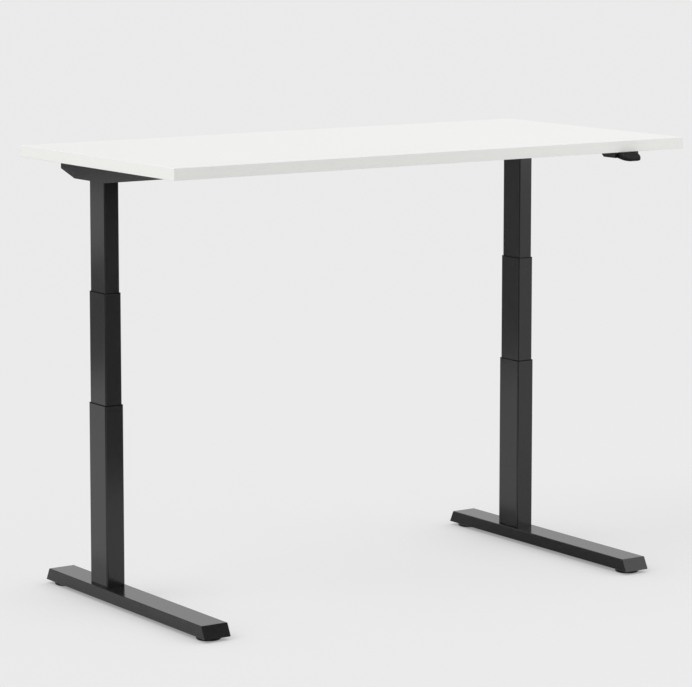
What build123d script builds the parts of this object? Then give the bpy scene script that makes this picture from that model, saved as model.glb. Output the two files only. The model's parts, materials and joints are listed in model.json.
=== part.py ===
"""Height adjustable standing desk: a three-stage, two-leg electric sit-stand desk.

+Z is up, the front of the desk faces -Y, and the origin is on the floor under the middle of the desk's
outline. Depths are given from the column line, which joins the axes of the two lifting columns.
Sizes are in millimetres. The desk is stored part way up, and every stage can still close and open.
"""
from build123d import *
import os
from math import cos, radians, sin

os.makedirs("parts", exist_ok=True)

# ---- Tabletop
top_width = 1470
top_depth = 716
top_thickness = 28
top_front = 520          # front edge ahead of the column line
band_thickness = 2       # edge band glued round the board
band_joint = 0.05        # butt joint of two bands at a corner

# ---- Lifting columns
column_inset = 118       # column axis to the end of the tabletop
outer_width = 50         # across the desk
outer_depth = 80         # front to back
stage_step = 2.5         # each stage is this much smaller a side
tube_wall = 1.5
tube_radius = 4          # outside corner of the outer tube
outer_length = 441
middle_exposed = 270     # middle tube seen above the outer tube
inner_exposed = 264.6    # inner tube seen above the middle tube
lift_down = 240          # how far each stage can still close
lift_up = 85             # how far each stage can still open
end_gap = 4.5            # free height left under a stage when closed
collar_lip = 1.5         # plastic guide collar seen on top of a tube
collar_skirt = 40
slide_fit = 0.08         # running clearance of a guide on a tube, a side
seat_fit = 0.05          # clearance where one fixed piece seats in another

# ---- Feet
foot_width = 70
foot_height = 30
foot_bottom = 8.5        # height above the floor
foot_front = 488         # top face, ahead of the column line
foot_back = 229          # top face, behind the column line
foot_slant = 15          # the ends lean out by this much at the bottom
foot_wall = 2
foot_bend = 2            # radius of the long corners
cap_thickness = 3
cap_plug = 12

# ---- Levelling glides
glide_radius = 29.5
glide_thickness = 5.5
glide_chamfer = 2
glide_bore_floor = 3     # plastic left under the stud
glide_inset = 40         # from the bottom end of the foot
glide_stud_radius = 4
glide_stud_length = 29
glide_nut_radius = 5.5
glide_nut_length = 11
glide_flange = 0.8
glide_hexagon_flats = 13
glide_hexagon_height = 1

# ---- Column base
base_plate_thickness = 8
base_bolt_x = 15         # bolt positions about the column centre
base_bolt_y = 28
base_bolt_radius = 3
base_bolt_head = 5
access_radius = 6.5

# ---- Telescopic screw drive, from the centre outwards
hex_flats = 8
fixed_screw_bore = 5.2
fixed_screw_radius = 8
fixed_screw_height = 365
spindle_bore = 9
spindle_radius = 12
spindle_height = 389     # tube part, above its lower end
spindle_cap = 6
spindle_collar_radius = 14
spindle_collar = 3
spindle_nut_radius = 10.5
spindle_nut_length = 24
lift_nut_radius = 16
lift_nut_length = 30
bearing_radius = 16.5
bearing_height = 14
running_fit = 0.05       # round parts that turn in each other
end_block_lip = 2
end_block_height = 20
end_block_skirt = 30
shaft_head_radius = 6
shaft_head_length = 16

# ---- Side brackets
bracket_width = 50
bracket_depth = 49.4     # below the tabletop at the column
bracket_sheet = 3
bracket_back = 165
bracket_back_depth = 30
bracket_back_flat = 99   # where the rear slant starts
bracket_front_flat = 44  # where the long front taper starts
bracket_front = 330
bracket_front_depth = 16.5

# ---- Gearboxes and motors
gearbox_width = 43
gearbox_depth = 74
gearbox_height = 32
gearbox_spigot = 20
gearbox_drop = 3         # top of the casting below the tabletop
drive_axis_drop = 22     # motor axis below the tabletop
neck_radius = 17
neck_length = 6
motor_radius = 20
motor_length = 92
gearbox_bolt_x = 14
gearbox_bolt_y = 29
gearbox_bolt_radius = 2.5
gearbox_bolt_length = 14

# ---- Crossbeams
beam_depth = 40
beam_width = 20
beam_wall = 1.5
beam_y = 46              # beams stand this far before and behind the column line
beam_plug = 6
beam_bolt_radius = 3
beam_bolt_head = 5
beam_bolt_pitch = 20

# ---- Wood screws
wood_screw_radius = 2
wood_screw_length = 20
wood_screw_head = 4.2
wood_screw_head_height = 2.6
screw_front = 300
screw_middle = 150
screw_rear_inner = 75
screw_rear_outer = 145

# ---- Control box
box_length = 260
box_depth = 96
box_height = 34
box_wall = 2.5
box_gap = 11             # from the rear crossbeam
ear_length = 20
board_thickness = 1.6
board_margin = 16        # from the outside of the case
board_lift = 5
board_setback = 6        # towards the front, clear of the sockets
supply_length = 46       # power supply block
supply_width = 40
supply_x = 70
heatsink_length = 60
heatsink_width = 12
heatsink_x = 10
capacitor_radius = 8
capacitor_positions = (-45, -25)
component_height = 16
inlet_x = 85
inlet_width = 28
inlet_height = 20
inlet_depth = 18
socket_width = 18
socket_height = 11
socket_depth = 14
socket_positions = (-100, -70, -25)
socket_wall = 2

# ---- Hand control
handset_inset = 177.5    # its middle to the right end of the tabletop
handset_width = 73
handset_depth = 54
handset_drop = 13.5
handset_setback = 3      # behind the tabletop's front edge
handset_wall = 3
handset_roof = 2.5
handset_floor = 2
handset_ear = 15
pin_radius = 1.5
pin_setback = 11         # pivot behind the housing's front face
pin_drop = 6             # pivot below the tabletop
paddle_reach = 29        # tip ahead of the tabletop's front edge
paddle_width = 55
paddle_gap = 1
paddle_tail = 9.5        # behind its pivot
paddle_corner = 19       # round corners of the tip, seen from above

# ---- Worked out from the above
column_x = top_width / 2 - column_inset
handset_x = top_width / 2 - handset_inset
foot_top = foot_bottom + foot_height
base_plate_top = foot_top + base_plate_thickness
outer_top = foot_top + outer_length + collar_lip
middle_top = outer_top + middle_exposed
underside = middle_top + inner_exposed + bracket_depth
surface = underside + top_thickness
top_back = top_depth - top_front

middle_low = base_plate_top + end_gap + lift_down      # lowest face of the middle stage
middle_bottom = middle_low + end_block_lip             # lower end of the middle tube
middle_block_top = middle_bottom + end_block_height
spindle_bottom = middle_bottom + 2
spindle_collar_low = middle_block_top + 0.3
spindle_top = spindle_bottom + spindle_height + spindle_cap
inner_low = spindle_collar_low + spindle_collar + 3.7 + lift_down
inner_bottom = inner_low + end_block_lip
gearbox_top = underside - gearbox_drop
gearbox_bottom = gearbox_top - gearbox_height
shaft_low = spindle_top - spindle_cap - lift_up - 9
motor_axis = underside - drive_axis_drop

column_y = (top_front + paddle_reach - foot_back - foot_slant) / 2   # puts the origin under the middle

sides = (("left", -1), ("right", 1))
ends = (("front", -1), ("rear", 1))


def save(builder, name):
    """Label one finished piece and write it out."""
    builder.part.label = name
    export_step(builder.part, f"parts/{name}.step")


def level(x, y, height):
    """Level plane at a point, with its depth measured from the column line."""
    return Plane((x, column_y + y, height))


def leg(side, height):
    """Level plane on the axis of one column."""
    return level(side * column_x, 0, height)


def profile(x):
    """Upright plane for side outlines, with depth from the column line as its x and height as its y."""
    return Plane(origin=(x, column_y, 0), x_dir=(0, 1, 0), z_dir=(1, 0, 0))


def upright(y):
    """Upright plane across the desk that faces the front."""
    return Plane(origin=(0, column_y + y, 0), x_dir=(1, 0, 0), z_dir=(0, -1, 0))


def facing_inward(side, x, height):
    """Upright plane that faces the middle of the desk, with its own y direction up."""
    return Plane(origin=(side * x, column_y, height), x_dir=(0, -side, 0), z_dir=(-side, 0, 0))


def stage(index):
    """Outside width, depth and corner radius of stage 0 (outer), 1 (middle) or 2 (inner)."""
    shrink = 2 * stage_step * index
    return outer_width - shrink, outer_depth - shrink, tube_radius - 0.5 * index


def stage_tube(side, index, low, high):
    """One rectangular lifting tube."""
    width, depth, radius = stage(index)
    inside = (width - 2 * tube_wall, depth - 2 * tube_wall, radius - tube_wall)
    with BuildPart() as tube:
        with BuildSketch(leg(side, low)):
            RectangleRounded(width, depth, radius)
            RectangleRounded(*inside, mode=Mode.SUBTRACT)
        extrude(amount=high - low)
    return tube


def guide_collar(side, index, top):
    """Plastic collar in the mouth of a tube: a thin lip on its rim and a skirt that guides the next stage."""
    width, depth, radius = stage(index)
    next_width, next_depth, next_radius = stage(index + 1)
    slot = (next_width + 2 * slide_fit, next_depth + 2 * slide_fit, next_radius - 1.2)
    mouth = 2 * (tube_wall + seat_fit)
    with BuildPart() as collar:
        with BuildSketch(leg(side, top - collar_lip)):
            RectangleRounded(width, depth, radius)
            RectangleRounded(*slot, mode=Mode.SUBTRACT)
        extrude(amount=collar_lip)
        with BuildSketch(leg(side, top - collar_lip)):
            RectangleRounded(width - mouth, depth - mouth, radius - tube_wall)
            RectangleRounded(*slot, mode=Mode.SUBTRACT)
        extrude(amount=-collar_skirt)
    return collar


def end_block(side, index, low, bore, seat_radius, seat_low):
    """Block in the lower end of a moving tube: it carries the drive and slides inside the tube below."""
    width, depth, radius = stage(index)
    around_width, around_depth, around_radius = stage(index - 1)
    slide = 2 * (tube_wall + slide_fit)
    inside = 2 * (tube_wall + seat_fit)
    with BuildPart() as block:
        with BuildSketch(leg(side, low)):
            RectangleRounded(around_width - slide, around_depth - slide, around_radius - tube_wall + 0.7)
        extrude(amount=end_block_lip)
        with BuildSketch(leg(side, low + end_block_lip)):
            RectangleRounded(around_width - slide, around_depth - slide, around_radius - tube_wall + 0.7)
            RectangleRounded(width + 2 * seat_fit, depth + 2 * seat_fit, radius, mode=Mode.SUBTRACT)
        extrude(amount=end_block_skirt)
        with BuildSketch(leg(side, low + end_block_lip)):
            RectangleRounded(width - inside, depth - inside, radius - tube_wall)
        extrude(amount=end_block_height)
        with BuildSketch(leg(side, low)):
            Circle(bore)
        extrude(amount=end_block_lip + end_block_height, mode=Mode.SUBTRACT)
        with BuildSketch(leg(side, seat_low)):
            Circle(seat_radius)
        extrude(amount=end_block_lip + end_block_height, mode=Mode.SUBTRACT)
    return block


def ring(side, low, height, outside, inside):
    """Plain ring on a column axis."""
    with BuildPart() as body:
        with BuildSketch(leg(side, low)):
            Circle(outside)
            Circle(inside, mode=Mode.SUBTRACT)
        extrude(amount=height)
    return body


# ---------------------------------------------------------------- feet
def foot_side(front, back):
    """Side outline of a foot between two sloping ends, drawn front to back."""
    Polyline(
        (-front, foot_top),
        (back, foot_top),
        (back + foot_slant, foot_bottom),
        (-front - foot_slant, foot_bottom),
        close=True,
    )


glide_front_y = -(foot_front + foot_slant - glide_inset)
glide_rear_y = foot_back + foot_slant - glide_inset
glide_places = [
    (f"{side_name}_{end_name}", side * column_x, glide_front_y if end < 0 else glide_rear_y)
    for side_name, side in sides
    for end_name, end in ends
]

for side_name, side in sides:
    with BuildPart() as foot:
        with BuildSketch(profile(side * column_x - foot_width / 2)):
            with BuildLine():
                foot_side(foot_front - cap_thickness, foot_back - cap_thickness)
            make_face()
        extrude(amount=foot_width)
        fillet(foot.edges().filter_by(Axis.Y), foot_bend)
        with BuildSketch(upright(0)):
            with Locations((side * column_x, foot_bottom + foot_height / 2)):
                Rectangle(foot_width - 2 * foot_wall, foot_height - 2 * foot_wall)
        extrude(amount=foot_front + foot_slant, both=True, mode=Mode.SUBTRACT)
        with BuildSketch(leg(side, foot_top - foot_wall)):
            with GridLocations(2 * base_bolt_x, 2 * base_bolt_y, 2, 2):
                Circle(base_bolt_radius + 0.3)
        extrude(amount=foot_wall, mode=Mode.SUBTRACT)
        with BuildSketch(leg(side, foot_bottom)):
            with GridLocations(2 * base_bolt_x, 2 * base_bolt_y, 2, 2):
                Circle(access_radius)
            with Locations((0, glide_front_y), (0, glide_rear_y)):
                Circle(glide_nut_radius + seat_fit)
        extrude(amount=foot_wall, mode=Mode.SUBTRACT)
    save(foot, f"foot_{side_name}")

with BuildPart() as foot_end_caps:
    for side_name, side in sides:
        for end_name, end in ends:
            rim_top = -foot_front if end < 0 else foot_back
            rim_low = rim_top + end * foot_slant
            inner_top = rim_top - end * cap_thickness
            inner_low_edge = rim_low - end * cap_thickness
            plug_edge = rim_top - end * (cap_thickness + cap_plug)
            plug_low = foot_bottom + foot_wall + seat_fit
            plug_top = foot_top - foot_wall - seat_fit
            slope = foot_slant / foot_height
            with BuildSketch(profile(side * column_x - foot_width / 2)):
                Polygon(
                    (rim_top, foot_top),
                    (rim_low, foot_bottom),
                    (inner_low_edge, foot_bottom),
                    (inner_top, foot_top),
                    align=None,
                )
            extrude(amount=foot_width)
            with BuildSketch(profile(side * column_x - foot_width / 2 + foot_wall + seat_fit)):
                Polygon(
                    (inner_top + end * slope * (foot_top - plug_top), plug_top),
                    (inner_top + end * slope * (foot_top - plug_low), plug_low),
                    (plug_edge, plug_low),
                    (plug_edge, plug_top),
                    align=None,
                )
            extrude(amount=foot_width - 2 * foot_wall - 2 * seat_fit)
    fillet(
        foot_end_caps.edges().filter_by(Axis.Y).filter_by(lambda e: abs(e.length - cap_thickness) < 0.01),
        foot_bend,
    )
save(foot_end_caps, "foot_end_caps")

# ---------------------------------------------------------------- levelling glides
with BuildPart() as glide_nuts:
    for _, x, y in glide_places:
        with BuildSketch(level(x, y, foot_bottom)):
            Circle(glide_nut_radius)
        extrude(amount=glide_nut_length)
        with BuildSketch(level(x, y, foot_bottom - glide_flange)):
            Circle(glide_nut_radius + 2.5)
        extrude(amount=glide_flange)
        with BuildSketch(level(x, y, foot_bottom - glide_flange)):
            Circle(glide_stud_radius + running_fit)
        extrude(amount=glide_nut_length + glide_flange, mode=Mode.SUBTRACT)
save(glide_nuts, "glide_nuts")

for place, x, y in glide_places:
    with BuildPart() as glide_pad:
        with BuildSketch(level(x, y, 0)):
            Circle(glide_radius)
        extrude(amount=glide_thickness)
        chamfer(glide_pad.edges().sort_by(Axis.Z)[-1], glide_chamfer)
        with BuildSketch(level(x, y, glide_bore_floor)):
            Circle(glide_stud_radius + 0.02)
        extrude(amount=glide_thickness, mode=Mode.SUBTRACT)
    save(glide_pad, f"glide_pad_{place}")

    with BuildPart() as glide_stud:
        with BuildSketch(level(x, y, glide_bore_floor)):
            Circle(glide_stud_radius)
        extrude(amount=glide_stud_length)
        with BuildSketch(level(x, y, glide_thickness)):
            RegularPolygon(glide_hexagon_flats / 2, 6, major_radius=False)
        extrude(amount=glide_hexagon_height)
    save(glide_stud, f"glide_stud_{place}")

# ---------------------------------------------------------------- columns, base stage
for side_name, side in sides:
    save(stage_tube(side, 0, foot_top, outer_top - collar_lip), f"outer_tube_{side_name}")
    save(guide_collar(side, 0, outer_top), f"outer_collar_{side_name}")
    screw_length = base_plate_thickness + fixed_screw_height
    fixed_screw = ring(side, foot_top, screw_length, fixed_screw_radius, fixed_screw_bore)
    save(fixed_screw, f"fixed_screw_{side_name}")

with BuildPart() as column_base_plates:
    for side_name, side in sides:
        with BuildSketch(leg(side, foot_top)):
            RectangleRounded(
                outer_width - 2 * (tube_wall + seat_fit),
                outer_depth - 2 * (tube_wall + seat_fit),
                tube_radius - tube_wall,
            )
            Circle(fixed_screw_radius + 0.02, mode=Mode.SUBTRACT)
            with GridLocations(2 * base_bolt_x, 2 * base_bolt_y, 2, 2):
                Circle(base_bolt_radius + 0.02, mode=Mode.SUBTRACT)
        extrude(amount=base_plate_thickness)
save(column_base_plates, "column_base_plates")

with BuildPart() as column_bolts:
    for side_name, side in sides:
        with BuildSketch(leg(side, foot_top - foot_wall)):
            with GridLocations(2 * base_bolt_x, 2 * base_bolt_y, 2, 2):
                Circle(base_bolt_radius)
        extrude(amount=foot_wall + base_plate_thickness)
        with BuildSketch(leg(side, foot_top - foot_wall)):
            with GridLocations(2 * base_bolt_x, 2 * base_bolt_y, 2, 2):
                RegularPolygon(base_bolt_head, 6, major_radius=False)
        extrude(amount=-4)
save(column_bolts, "column_bolts")

# ---------------------------------------------------------------- columns, middle stage
for side_name, side in sides:
    save(stage_tube(side, 1, middle_bottom, middle_top - collar_lip), f"middle_tube_{side_name}")
    save(guide_collar(side, 1, middle_top), f"middle_collar_{side_name}")
    block = end_block(
        side, 1, middle_low, spindle_radius + 1, bearing_radius + seat_fit, middle_block_top - bearing_height
    )
    save(block, f"middle_end_block_{side_name}")

with BuildPart() as spindle_bearings:
    for side_name, side in sides:
        with BuildSketch(leg(side, middle_block_top - bearing_height)):
            Circle(bearing_radius)
            Circle(spindle_radius + running_fit, mode=Mode.SUBTRACT)
        extrude(amount=bearing_height)
save(spindle_bearings, "spindle_bearings")

# The spindle turns in the middle stage. Outside it drives the nut of the inner stage, and the nut in its
# lower end climbs the fixed screw, so one turn opens both stages by the same lead.
for side_name, side in sides:
    with BuildPart() as lift_spindle:
        with BuildSketch(leg(side, spindle_bottom)):
            Circle(spindle_radius)
        extrude(amount=spindle_height + spindle_cap)
        with BuildSketch(leg(side, spindle_collar_low)):
            Circle(spindle_collar_radius)
        extrude(amount=spindle_collar)
        with BuildSketch(leg(side, spindle_bottom)):
            Circle(spindle_bore)
        extrude(amount=spindle_height, mode=Mode.SUBTRACT)
        with BuildSketch(leg(side, spindle_bottom)):
            Circle(spindle_nut_radius)
        extrude(amount=spindle_nut_length, mode=Mode.SUBTRACT)
        with BuildSketch(leg(side, spindle_top - spindle_cap)):
            RegularPolygon(hex_flats / 2 + running_fit, 6, major_radius=False)
        extrude(amount=spindle_cap, mode=Mode.SUBTRACT)
    save(lift_spindle, f"lift_spindle_{side_name}")

    spindle_nut = ring(
        side, spindle_bottom, spindle_nut_length, spindle_nut_radius - 0.02, fixed_screw_radius + running_fit
    )
    save(spindle_nut, f"spindle_nut_{side_name}")

# ---------------------------------------------------------------- columns, inner stage and drive
for side_name, side in sides:
    save(stage_tube(side, 2, inner_bottom, gearbox_bottom), f"inner_tube_{side_name}")
    block = end_block(side, 2, inner_low, lift_nut_radius + seat_fit, lift_nut_radius + seat_fit, inner_low)
    save(block, f"inner_end_block_{side_name}")

    with BuildPart() as drive_shaft:
        with BuildSketch(leg(side, shaft_low)):
            RegularPolygon(hex_flats / 2, 6, major_radius=False)
        extrude(amount=gearbox_bottom + 4 - shaft_low)
        with BuildSketch(leg(side, gearbox_bottom + 4)):
            Circle(shaft_head_radius)
        extrude(amount=shaft_head_length)
    save(drive_shaft, f"drive_shaft_{side_name}")

with BuildPart() as lift_nuts:
    for side_name, side in sides:
        with BuildSketch(leg(side, inner_low)):
            Circle(lift_nut_radius)
            Circle(spindle_radius + running_fit, mode=Mode.SUBTRACT)
        extrude(amount=lift_nut_length)
save(lift_nuts, "lift_nuts")

for side_name, side in sides:
    inner_width, inner_depth, inner_radius = stage(2)
    inboard = facing_inward(side, column_x - gearbox_width / 2, motor_axis)
    with BuildPart() as gearbox:
        with BuildSketch(leg(side, gearbox_bottom)):
            RectangleRounded(gearbox_width, gearbox_depth, 6)
        extrude(amount=gearbox_height)
        chamfer(gearbox.edges().group_by(Axis.Z)[-1], 1.5)
        with BuildSketch(leg(side, gearbox_bottom)):
            RectangleRounded(
                inner_width - 2 * (tube_wall + seat_fit),
                inner_depth - 2 * (tube_wall + seat_fit),
                inner_radius - tube_wall,
            )
        extrude(amount=-gearbox_spigot)
        with BuildSketch(inboard):
            Circle(neck_radius)
        extrude(amount=neck_length)
        with BuildSketch(leg(side, gearbox_bottom - gearbox_spigot)):
            Circle(shaft_head_radius + running_fit)
        extrude(amount=gearbox_spigot + 4 + shaft_head_length + 1, mode=Mode.SUBTRACT)
        with BuildSketch(leg(side, gearbox_top)):
            with GridLocations(2 * gearbox_bolt_x, 2 * gearbox_bolt_y, 2, 2):
                Circle(gearbox_bolt_radius + 0.02)
        extrude(amount=-gearbox_bolt_length, mode=Mode.SUBTRACT)
    save(gearbox, f"gearbox_{side_name}")

    with BuildPart() as motor:
        with BuildSketch(inboard.offset(neck_length)):
            Circle(motor_radius)
        extrude(amount=5)
        with BuildSketch(inboard.offset(neck_length + 5)):
            Circle(motor_radius - 1.5)
        extrude(amount=motor_length - 12)
        with BuildSketch(inboard.offset(neck_length + motor_length - 7)):
            Circle(motor_radius)
        extrude(amount=5)
        chamfer(motor.faces().sort_by(Axis.X)[0 if side > 0 else -1].edges(), 1)
        with BuildSketch(inboard.offset(neck_length + motor_length - 2)):
            Circle(7)
        extrude(amount=4)
    save(motor, f"motor_{side_name}")

# ---------------------------------------------------------------- side brackets
beam_bolt_heights = (
    underside - beam_depth / 2 - beam_bolt_pitch / 2,
    underside - beam_depth / 2 + beam_bolt_pitch / 2,
)
bracket_screw_places = ((0, -screw_front), (0, -screw_middle), (0, screw_rear_inner), (0, screw_rear_outer))

for side_name, side in sides:
    with BuildPart() as side_bracket:
        with BuildSketch(profile(side * column_x - bracket_width / 2)):
            Polygon(
                (-bracket_front, underside),
                (-bracket_front, underside - bracket_front_depth),
                (-bracket_front_flat, underside - bracket_depth),
                (bracket_back_flat, underside - bracket_depth),
                (bracket_back, underside - bracket_back_depth),
                (bracket_back, underside),
                align=None,
            )
        extrude(amount=bracket_width)
        fillet(side_bracket.faces().sort_by(Axis.Z)[-1].edges().filter_by(Axis.Y), 2)
        with BuildSketch(upright(-bracket_front)):
            with Locations((side * column_x, underside - bracket_sheet)):
                Rectangle(bracket_width - 2 * bracket_sheet, bracket_depth, align=(Align.CENTER, Align.MAX))
        extrude(amount=-bracket_front - bracket_back, mode=Mode.SUBTRACT)
        with BuildSketch(leg(side, underside)):
            with Locations(*bracket_screw_places):
                Circle(wood_screw_radius + 0.4)
        extrude(amount=-bracket_sheet, mode=Mode.SUBTRACT)
        with Locations(leg(side, underside)):
            with GridLocations(2 * gearbox_bolt_x, 2 * gearbox_bolt_y, 2, 2):
                CounterSinkHole(gearbox_bolt_radius + 0.1, gearbox_bolt_radius * 2 + 0.1, bracket_sheet)
        with BuildSketch(facing_inward(side, column_x - bracket_width / 2, 0)):
            with Locations((0, motor_axis)):
                Circle(neck_radius + 1)
            with Locations(*[(y, z) for y in (-beam_y, beam_y) for z in beam_bolt_heights]):
                Circle(beam_bolt_radius + 0.3)
        extrude(amount=-bracket_sheet, mode=Mode.SUBTRACT)
    save(side_bracket, f"side_bracket_{side_name}")

with BuildPart() as gearbox_bolts:
    for side_name, side in sides:
        with BuildSketch(leg(side, underside - 0.2 - gearbox_bolt_length)):
            with GridLocations(2 * gearbox_bolt_x, 2 * gearbox_bolt_y, 2, 2):
                Circle(gearbox_bolt_radius)
        extrude(amount=gearbox_bolt_length)
        with Locations(leg(side, underside - 0.2)):
            with GridLocations(2 * gearbox_bolt_x, 2 * gearbox_bolt_y, 2, 2):
                Cone(
                    gearbox_bolt_radius, gearbox_bolt_radius * 2 - 0.2, gearbox_bolt_radius - 0.2,
                    align=(Align.CENTER, Align.CENTER, Align.MAX),
                )
save(gearbox_bolts, "gearbox_bolts")

# ---------------------------------------------------------------- crossbeams
beam_half = column_x - bracket_width / 2
for end_name, end in ends:
    with BuildPart() as crossbeam:
        with BuildSketch(profile(-beam_half)):
            with Locations((end * beam_y, underside - beam_depth / 2)):
                RectangleRounded(beam_width, beam_depth, 2)
                Rectangle(beam_width - 2 * beam_wall, beam_depth - 2 * beam_wall, mode=Mode.SUBTRACT)
        extrude(amount=2 * beam_half)
        for side_name, side in sides:
            with BuildSketch(profile(side * beam_half)):
                with Locations((end * beam_y, underside - beam_depth / 2)):
                    Rectangle(beam_width - 2 * beam_wall, beam_depth - 2 * beam_wall)
                with Locations(*[(end * beam_y, z) for z in beam_bolt_heights]):
                    Circle(beam_bolt_radius + 0.02, mode=Mode.SUBTRACT)
            extrude(amount=-side * beam_plug)
    save(crossbeam, f"crossbeam_{end_name}")

with BuildPart() as crossbeam_bolts:
    for side_name, side in sides:
        with BuildSketch(profile(side * (beam_half + bracket_sheet))):
            with Locations(*[(end * beam_y, z) for _, end in ends for z in beam_bolt_heights]):
                Circle(beam_bolt_radius)
        extrude(amount=-side * (bracket_sheet + beam_plug))
        with BuildSketch(profile(side * (beam_half + bracket_sheet))):
            with Locations(*[(end * beam_y, z) for _, end in ends for z in beam_bolt_heights]):
                RegularPolygon(beam_bolt_head, 6, major_radius=False)
        extrude(amount=side * 4)
save(crossbeam_bolts, "crossbeam_bolts")

# ---------------------------------------------------------------- control box
box_front_y = beam_y + beam_width / 2 + box_gap
box_y = box_front_y + box_depth / 2
box_back_y = box_front_y + box_depth
box_low = underside - box_height
lid_low = underside - box_wall
ear_x = box_length / 2 + ear_length / 2
ear_y = box_depth / 2 - 12
socket_z = box_low + box_height / 2 - 1

with BuildPart() as control_box_lid:
    with BuildSketch(level(0, box_y, lid_low)):
        RectangleRounded(box_length + 2 * ear_length, box_depth, 4)
        with GridLocations(2 * ear_x, 2 * ear_y, 2, 2):
            Circle(wood_screw_radius + 0.4, mode=Mode.SUBTRACT)
    extrude(amount=box_wall)
save(control_box_lid, "control_box_lid")

with BuildPart() as control_box_case:
    with BuildSketch(level(0, box_y, box_low)):
        RectangleRounded(box_length, box_depth, 6)
    extrude(amount=box_height - box_wall)
    chamfer(control_box_case.edges().group_by(Axis.Z)[0], 2)
    with BuildSketch(level(0, box_y, box_low + box_wall)):
        RectangleRounded(box_length - 2 * box_wall, box_depth - 2 * box_wall, 4)
    extrude(amount=box_height, mode=Mode.SUBTRACT)
    with BuildSketch(upright(box_back_y)):
        with Locations((inlet_x, socket_z)):
            Rectangle(inlet_width + 0.2, inlet_height + 0.2)
        with Locations(*[(x, socket_z) for x in socket_positions]):
            Rectangle(socket_width + 0.2, socket_height + 0.2)
    extrude(amount=box_wall, mode=Mode.SUBTRACT)
    with BuildSketch(level(0, box_y, box_low + box_wall)):
        with GridLocations(box_length - 40, box_depth - 36, 2, 2):
            Circle(3)
    extrude(amount=board_lift)
save(control_box_case, "control_box_case")

with BuildPart() as control_board:
    board_low = box_low + box_wall + board_lift
    with BuildSketch(level(0, box_y - board_setback, board_low)):
        Rectangle(box_length - 2 * board_margin, box_depth - 2 * board_margin)
    extrude(amount=board_thickness)
    with BuildSketch(level(0, box_y - board_setback, board_low + board_thickness)):
        with Locations((supply_x, 0)):
            Rectangle(supply_length, supply_width)
        with Locations((heatsink_x, heatsink_width)):
            Rectangle(heatsink_length, heatsink_width)
        with Locations(*[(x, -capacitor_radius) for x in capacitor_positions]):
            Circle(capacitor_radius)
    extrude(amount=component_height)
save(control_board, "control_board")

with BuildPart() as mains_inlet:
    with BuildSketch(upright(box_back_y)):
        with Locations((inlet_x, socket_z)):
            Rectangle(inlet_width, inlet_height)
    extrude(amount=inlet_depth)
    with BuildSketch(upright(box_back_y)):
        with Locations((inlet_x, socket_z)):
            Rectangle(inlet_width - 2 * socket_wall, inlet_height - 2 * socket_wall)
    extrude(amount=inlet_depth - socket_wall, mode=Mode.SUBTRACT)
save(mains_inlet, "mains_inlet")

with BuildPart() as control_box_sockets:
    with BuildSketch(upright(box_back_y)):
        with Locations(*[(x, socket_z) for x in socket_positions]):
            Rectangle(socket_width, socket_height)
    extrude(amount=socket_depth)
    with BuildSketch(upright(box_back_y)):
        with Locations(*[(x, socket_z) for x in socket_positions]):
            Rectangle(socket_width - 2 * socket_wall, socket_height - 2 * socket_wall)
    extrude(amount=socket_depth - socket_wall, mode=Mode.SUBTRACT)
save(control_box_sockets, "control_box_sockets")

# ---------------------------------------------------------------- hand control
handset_front_y = -top_front + handset_setback
handset_back_y = handset_front_y + handset_depth
handset_low = underside - handset_drop
pin_y = handset_front_y + pin_setback
pin_z = underside - pin_drop
hollow_width = handset_width - 2 * handset_wall
slot_width = paddle_width + 2 * paddle_gap
slot_end_y = pin_y + paddle_tail + 1.5
ear_screw_x = hollow_width / 2 - 8
ear_screw_y = handset_back_y + handset_ear / 2

with BuildPart() as handset_housing:
    with BuildSketch(profile(handset_x - handset_width / 2)):
        Polygon(
            (handset_front_y, underside),
            (handset_front_y, handset_low),
            (handset_back_y - 10, handset_low),
            (handset_back_y, underside - 5),
            (handset_back_y, underside),
            align=None,
        )
    extrude(amount=handset_width)
    with BuildSketch(profile(handset_x - hollow_width / 2)):
        Polygon(
            (slot_end_y, underside - handset_roof),
            (slot_end_y, handset_low + handset_floor),
            (handset_back_y - 11, handset_low + handset_floor),
            (handset_back_y - handset_wall, underside - 5),
            (handset_back_y - handset_wall, underside - handset_roof),
            align=None,
        )
    extrude(amount=hollow_width, mode=Mode.SUBTRACT)
    with BuildSketch(level(handset_x, (handset_front_y + slot_end_y) / 2, handset_low)):
        Rectangle(slot_width, slot_end_y - handset_front_y)
    extrude(amount=handset_drop - handset_roof, mode=Mode.SUBTRACT)
    with BuildSketch(level(handset_x, ear_screw_y, underside - handset_roof)):
        RectangleRounded(handset_width, handset_ear, 3)
        with GridLocations(2 * ear_screw_x, 1, 2, 1):
            Circle(wood_screw_radius + 0.4, mode=Mode.SUBTRACT)
    extrude(amount=handset_roof)
    with BuildSketch(profile(handset_x - handset_width / 2)):
        with Locations((pin_y, pin_z)):
            Circle(pin_radius + 0.02)
    extrude(amount=handset_width, mode=Mode.SUBTRACT)
save(handset_housing, "handset_housing")

with BuildPart() as handset_pin:
    with BuildSketch(profile(handset_x - handset_width / 2 + 0.5)):
        with Locations((pin_y, pin_z)):
            Circle(pin_radius)
    extrude(amount=handset_width - 1)
save(handset_pin, "handset_pin")

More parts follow.
